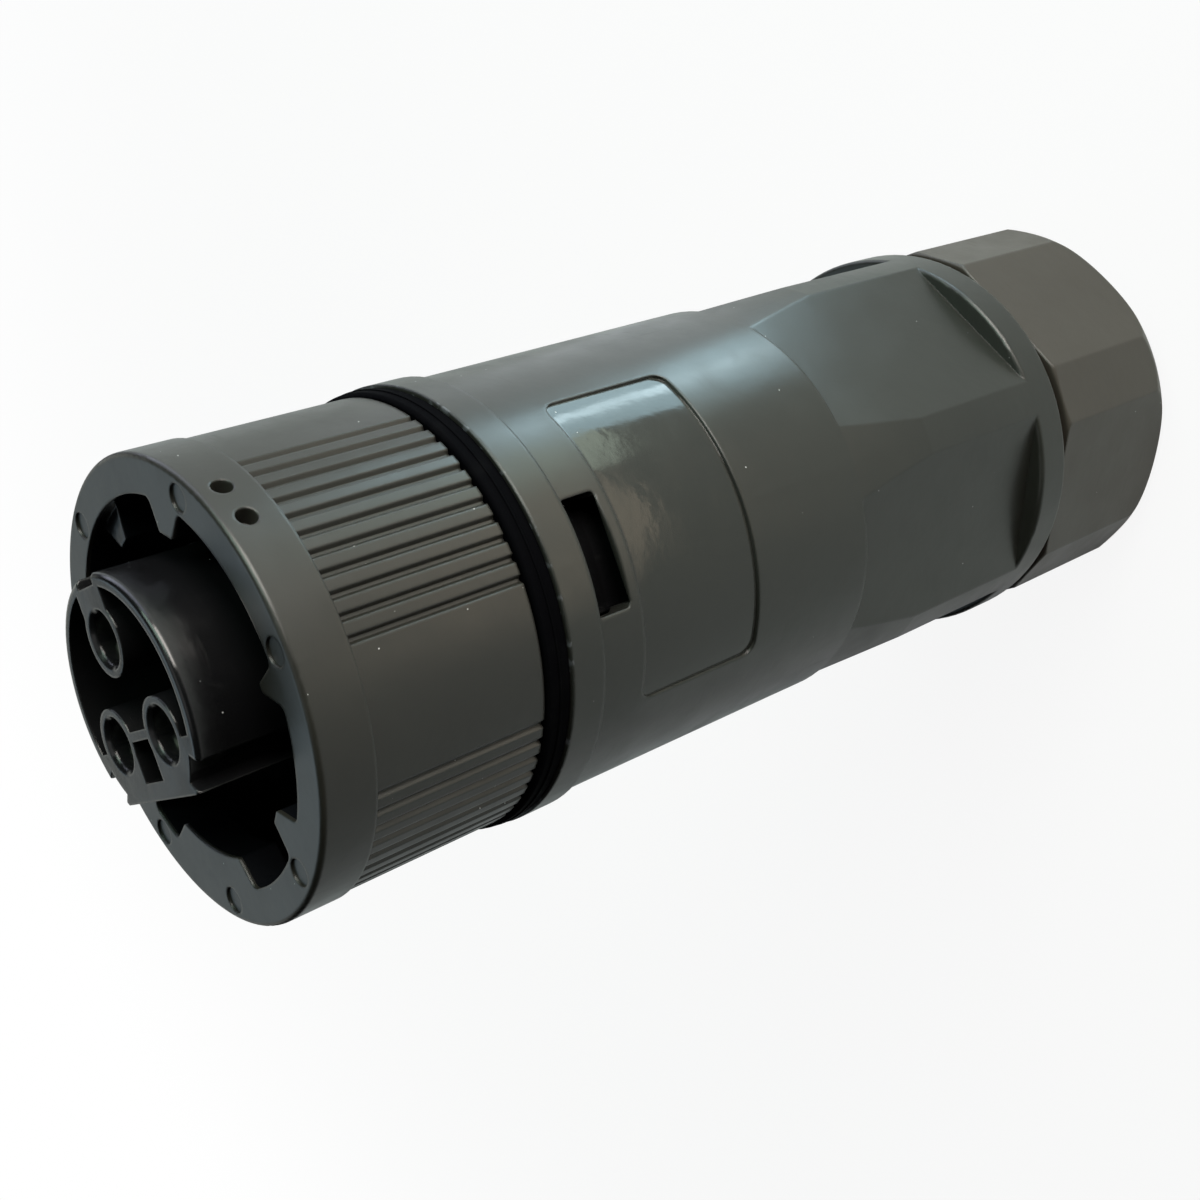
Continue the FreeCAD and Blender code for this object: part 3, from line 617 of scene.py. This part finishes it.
@dataclass
class MatingEnd:
    """Lock ring, contact insert, contacts, and the seal, whose face has round lips."""

    nose_radius: float = 9.4 * MM
    nose_offset: float = 0.5 * MM
    lip_height: float = 0.7 * MM
    lip_fullness: float = 0.7
    lips: int = 2
    lip_points: int = 10
    turns: int = 160
    ring: MouldedPlastic = MouldedPlastic(
        "ring_satin", colour=(0.0150, 0.0143, 0.0120), mottle=(0.0172, 0.0165, 0.0138), roughness=0.33,
        edge=SoftEdge(0.3 * MM), dust=Dust(0.4), bore=ShadedBore(radius=15.3 * MM, high=98.2 * MM))
    insert: MouldedPlastic = MouldedPlastic(
        "insert_gloss", colour=(0.004, 0.004, 0.0045), mottle=(0.006, 0.006, 0.0065), roughness=0.2,
        smoothest=0.05, grain_depth=1.0 * MICRON, wear=0.3, dust=Dust(0.2))
    rubber: MouldedRubber = MouldedRubber(
        "seal_rubber", colour=(0.010, 0.010, 0.011), roughness=0.45, gloss=0.3, bloom_cover=0.2)
    contact: PlatedMetal = PlatedMetal(
        "contact_plating", colour=(0.80, 0.76, 0.68), tarnish=(0.45, 0.40, 0.33), roughness=0.28)
    spring: PlatedMetal = PlatedMetal(
        "spring_steel", colour=(0.55, 0.55, 0.56), tarnish=(0.40, 0.39, 0.38), roughness=0.3)
    screw: PlatedMetal = PlatedMetal(
        "screw_zinc", colour=(0.66, 0.67, 0.68), tarnish=(0.50, 0.49, 0.45), roughness=0.32)

    def build(self) -> bpy.types.Object:
        """Make the seal with round lips in place of the plain ring.

        The lips run from the foot of the nose, which is a little off the axis, to the outer wall.

        Returns:
            The seal.
        """
        corner_low, corner_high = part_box("mating_seal")
        outer, low, high = corner_high[0], corner_low[2], corner_high[2]
        count = self.lips * self.lip_points
        places = [(1.0, low)]
        for index in range(count, -1, -1):
            share = index / count
            crest = abs(math.sin(math.pi * self.lips * share)) ** self.lip_fullness
            places.append((share, high - self.lip_height * (1.0 - crest)))
        places.append((0.0, low))
        wall = outer - self.nose_radius
        outline = [(self.nose_radius + wall * share, height) for share, height in places]
        middles = [(0.0, self.nose_offset * (1.0 - share), 0.0) for share, _ in places]
        seal = lathe("lipped_seal", outline, self.turns, middles)
        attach(seal, CONNECTOR_BODY)
        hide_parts("mating_seal")
        return seal

    def dress(self) -> None:
        """Give the pieces their finishes."""
        dress_node("lock_ring", self.ring.material())
        dress_node("contact_insert", self.insert.material())
        dress_piece(self.build(), self.rubber.material())
        contact, spring, screw = (metal.material() for metal in (self.contact, self.spring, self.screw))
        for pole in Pole:
            dress_node(f"{pole.value}_contact", contact)
            dress_node(f"{pole.value}_contact_spring", spring)
            dress_node(f"{pole.value}_terminal_screw", screw)


def area_lamp(name: str, width: float, height: float, power: float, tint: Colour) -> bpy.types.Object:
    """Rectangular lamp that the camera doesn't see.

    Args:
        name: Name of the lamp.
        width: Size along its own X, in metres.
        height: Size along its own Y, in metres.
        power: Power in watts.
        tint: Colour of its light.

    Returns:
        The lamp, at the origin.
    """
    lamp = bpy.data.lights.new(name, "AREA")
    lamp.shape = "RECTANGLE"
    lamp.size = width
    lamp.size_y = height
    lamp.energy = power
    lamp.color = tint
    stand = bpy.data.objects.new(name, lamp)
    stand.visible_camera = False
    bpy.context.scene.collection.objects.link(stand)
    LOG.info("lamp %s", name)
    return stand


@dataclass(frozen=True)
class Softbox:
    """Soft rectangular lamp that stands round the connector and faces its middle.

    Angles are in degrees, from +X towards +Y and up from the floor.
    """

    name: str
    azimuth: float
    elevation: float
    power: float
    tint: Colour
    width: float = 0.38
    height: float = 0.28
    reach: float = 0.6
    middle: float = 0.05

    def build(self) -> None:
        """Set the lamp up."""
        turn, rise = math.radians(self.azimuth), math.radians(self.elevation)
        away = Vector((math.cos(turn) * math.cos(rise), math.sin(turn) * math.cos(rise), math.sin(rise)))
        stand = area_lamp(self.name, self.width, self.height, self.power, self.tint)
        stand.location = Vector((0.0, 0.0, self.middle)) + away * self.reach
        stand.rotation_euler = away.to_track_quat("Z", "Y").to_euler()


@dataclass(frozen=True)
class FloorStrip:
    """Lamp that lies on the floor, points away from the connector and shines upwards."""

    name: str
    azimuth: float
    near: float
    width: float
    power: float
    tint: Colour
    far: float = 0.160
    lift: float = 0.002

    def build(self) -> None:
        """Set the lamp up."""
        turn = math.radians(self.azimuth)
        middle = (self.near + self.far) / 2.0
        stand = area_lamp(self.name, self.far - self.near, self.width, self.power, self.tint)
        stand.location = (middle * math.cos(turn), middle * math.sin(turn), self.lift)
        stand.rotation_euler = (math.pi, 0.0, turn)


@dataclass
class Studio:
    """Pale floor, soft light and the camera.

    The floor's veil of white, which the camera sees, is full beyond the fade, and is
    thinner near the connector, where the shadow shows through it.
    """

    floor_half: float = 2.5
    floor_colour: Colour = (0.80, 0.80, 0.80)
    floor_veil: float = 0.9
    floor_fade: Range = (0.12, 0.4)
    mirror_veil: float = 0.15
    camera_place: Point = (0.105401, 0.002349, 0.141786)
    camera_right: Point = (0.584789, -0.322367, -0.744383)
    camera_up: Point = (0.158199, 0.945352, -0.285116)
    camera_lens: float = 47.952
    camera_sensor: float = 36.0
    camera_clip: float = 0.01
    lamps: tuple[Softbox | FloorStrip, ...] = (
        Softbox("key_softbox", azimuth=40.0, elevation=12.0, power=4.35, tint=(1.0, 0.95, 0.89)),
        Softbox("high_softbox", azimuth=60.0, elevation=42.0, power=1.8, tint=(0.72, 1.0, 0.84)),
        Softbox("side_softbox", azimuth=100.0, elevation=12.0, power=1.6, tint=(0.79, 0.84, 1.0),
                width=0.76),
        Softbox("rear_softbox", azimuth=180.0, elevation=12.0, power=0.42, tint=(0.96, 1.0, 0.95),
                width=0.76),
        Softbox("back_softbox", azimuth=180.0, elevation=42.0, power=0.35, tint=(0.71, 0.89, 1.0)),
        Softbox("top_softbox", azimuth=0.0, elevation=85.0, power=0.25, tint=WHITE),
        FloorStrip("window_strip", azimuth=70.0, near=0.055, width=0.0375, power=0.054,
                   tint=(0.58, 0.88, 1.0)),
        FloorStrip("pane_strip", azimuth=70.0, near=0.055, width=0.007, power=0.013,
                   tint=(0.75, 0.93, 1.0), lift=0.003),
        FloorStrip("front_strip", azimuth=50.0, near=0.095, width=0.044, power=0.0255,
                   tint=(0.83, 1.0, 0.81)),
        FloorStrip("warm_strip", azimuth=10.0, near=0.095, width=0.133, power=0.037,
                   tint=(1.0, 0.80, 0.57)),
        FloorStrip("side_strip", azimuth=105.0, near=0.055, width=0.075, power=0.0131,
                   tint=(0.83, 0.89, 1.0)),
    )

    def build(self) -> None:
        """Set up the floor, the world, the lamps and the camera."""
        bpy.context.scene.view_settings.view_transform = "Standard"
        self.floor()
        self.world()
        for lamp in self.lamps:
            lamp.build()
        self.camera()

    def floor(self) -> None:
        """Lay the floor, white to the eye, with the connector's shadow on it."""
        half = self.floor_half
        corners = [(-half, -half, 0.0), (half, -half, 0.0), (half, half, 0.0), (-half, half, 0.0)]
        mesh = bpy.data.meshes.new("floor")
        mesh.from_pydata(corners, [], [(0, 1, 2, 3)])
        floor = bpy.data.objects.new("floor", mesh)
        bpy.context.scene.collection.objects.link(floor)
        shader = Shader(bpy.data.materials.new("pale_floor"))
        reach = shader.node("VectorMath", {"operation": "LENGTH"}, {0: shader.place()}, "Value")
        cover = self.floor_veil + reach.step(*self.floor_fade) * (1.0 - self.floor_veil)
        veil = shader.node("LightPath", outlet="Is Camera Ray") * cover
        for ray in ("Is Glossy Ray", "Is Transmission Ray"):
            veil = veil.at_least(shader.node("LightPath", outlet=ray) * self.mirror_veil)
        plain = shader.node("BsdfDiffuse", None, {"Color": rgba(self.floor_colour)})
        white = shader.node("Emission", None, {"Color": rgba(WHITE), "Strength": 1.0})
        surface = shader.node("MixShader", None, {0: veil, 1: plain, 2: white})
        shader.node("OutputMaterial", None, {"Surface": surface})
        mesh.materials.append(shader.owner)

    def world(self) -> None:
        """Make the world white where the camera sees it, and dark to the connector."""
        shader = Shader(bpy.data.worlds.new("studio_air"))
        seen = shader.node("LightPath", outlet="Is Camera Ray")
        air = shader.node("Background", None, {"Color": rgba(WHITE), "Strength": seen})
        shader.node("OutputWorld", None, {"Surface": air})
        bpy.context.scene.world = shader.owner

    def camera(self) -> None:
        """Place the camera at the photograph's angle."""
        lens = bpy.data.cameras.new("camera")
        lens.lens = self.camera_lens
        lens.sensor_width = self.camera_sensor
        lens.clip_start = self.camera_clip
        camera = bpy.data.objects.new("camera", lens)
        right, up = Vector(self.camera_right), Vector(self.camera_up)
        turn = Matrix((right, up, right.cross(up))).transposed()
        camera.matrix_world = Matrix.Translation(self.camera_place) @ turn.to_4x4()
        bpy.context.scene.collection.objects.link(camera)
        bpy.context.scene.camera = camera


def main() -> None:
    """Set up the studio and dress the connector."""
    logging.basicConfig(level=logging.INFO, format="%(name)s: %(message)s")
    Studio().build()
    for assembly in (GlandEnd(), Housing(), MatingEnd()):
        assembly.dress()


if __name__ == "__main__":
    main()
